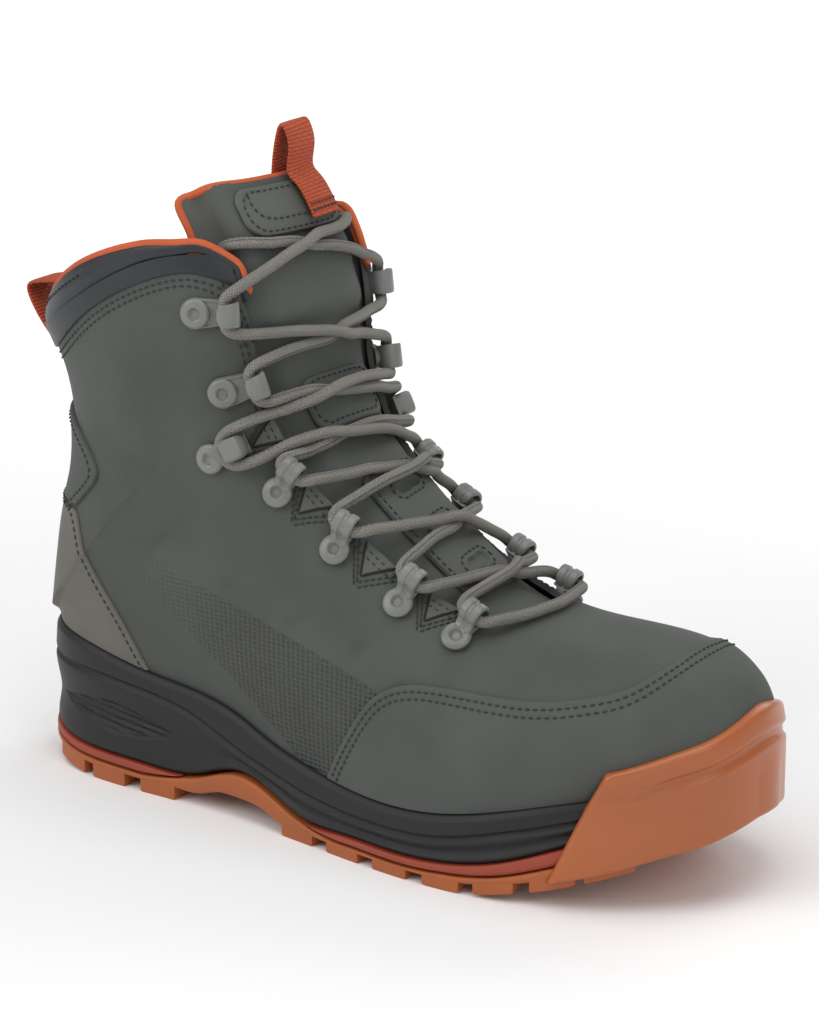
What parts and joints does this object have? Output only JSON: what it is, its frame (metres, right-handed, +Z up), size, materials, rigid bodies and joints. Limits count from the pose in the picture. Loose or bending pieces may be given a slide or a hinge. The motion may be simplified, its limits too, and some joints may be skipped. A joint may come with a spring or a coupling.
{
  "type": "wading boot",
  "caption": "Lace-up ankle-high wading boot with a hollow upper, padded collar, foam midsole, lugged rubber outsole and toe bumper.",
  "frame": {"origin": "centre of the boot's footprint box, on the ground", "axes": "+X from heel to toe, +Y to the inner (medial) side, +Z up"},
  "size_m": [0.3284, 0.116, 0.2728],
  "materials": {
    "cord": "matte",
    "counter": "matte",
    "cuff": "matte",
    "foam": "matte",
    "gum": "satin",
    "hardware": "satin",
    "lining": "matte",
    "red_rubber": "satin",
    "ripstop": "matte",
    "tongue_fabric": "matte",
    "upper_fabric": "matte",
    "webbing": "matte"
  },
  "bodies": {
    "root": {"collar_cuff": "cuff", "eyelet_lateral_1": "hardware", "eyelet_lateral_2": "hardware", "eyelet_lateral_3": "hardware", "eyelet_lateral_4": "hardware", "eyelet_medial_1": "hardware", "eyelet_medial_2": "hardware", "eyelet_medial_3": "hardware", "eyelet_medial_4": "hardware", "forefoot_band": "red_rubber", "heel_band": "red_rubber", "heel_counter": "counter", "heel_pull_loop": "webbing", "heel_tab": "upper_fabric", "hook_lateral_1": "hardware", "hook_lateral_2": "hardware", "hook_lateral_3": "hardware", "hook_medial_1": "hardware", "hook_medial_2": "hardware", "hook_medial_3": "hardware", "insole": "lining", "lace_bar": "cord", "lace_cross_eyelet1_hook3": "cord", "lace_cross_eyelet2_eyelet1": "cord", "lace_cross_eyelet3_eyelet2": "cord", "lace_cross_eyelet4_eyelet3": "cord", "lace_cross_hook2_hook1": "cord", "lace_cross_hook3_hook2": "cord", "lace_top": "cord", "midsole": "foam", "outsole": "gum", "toe_cap": "upper_fabric", "tongue": "tongue_fabric", "tongue_panel_instep": "upper_fabric", "tongue_panel_mid": "tongue_fabric", "tongue_panel_top": "ripstop", "tongue_pull_loop": "webbing", "upper": "upper_fabric"}
  },
  "joints": []
}
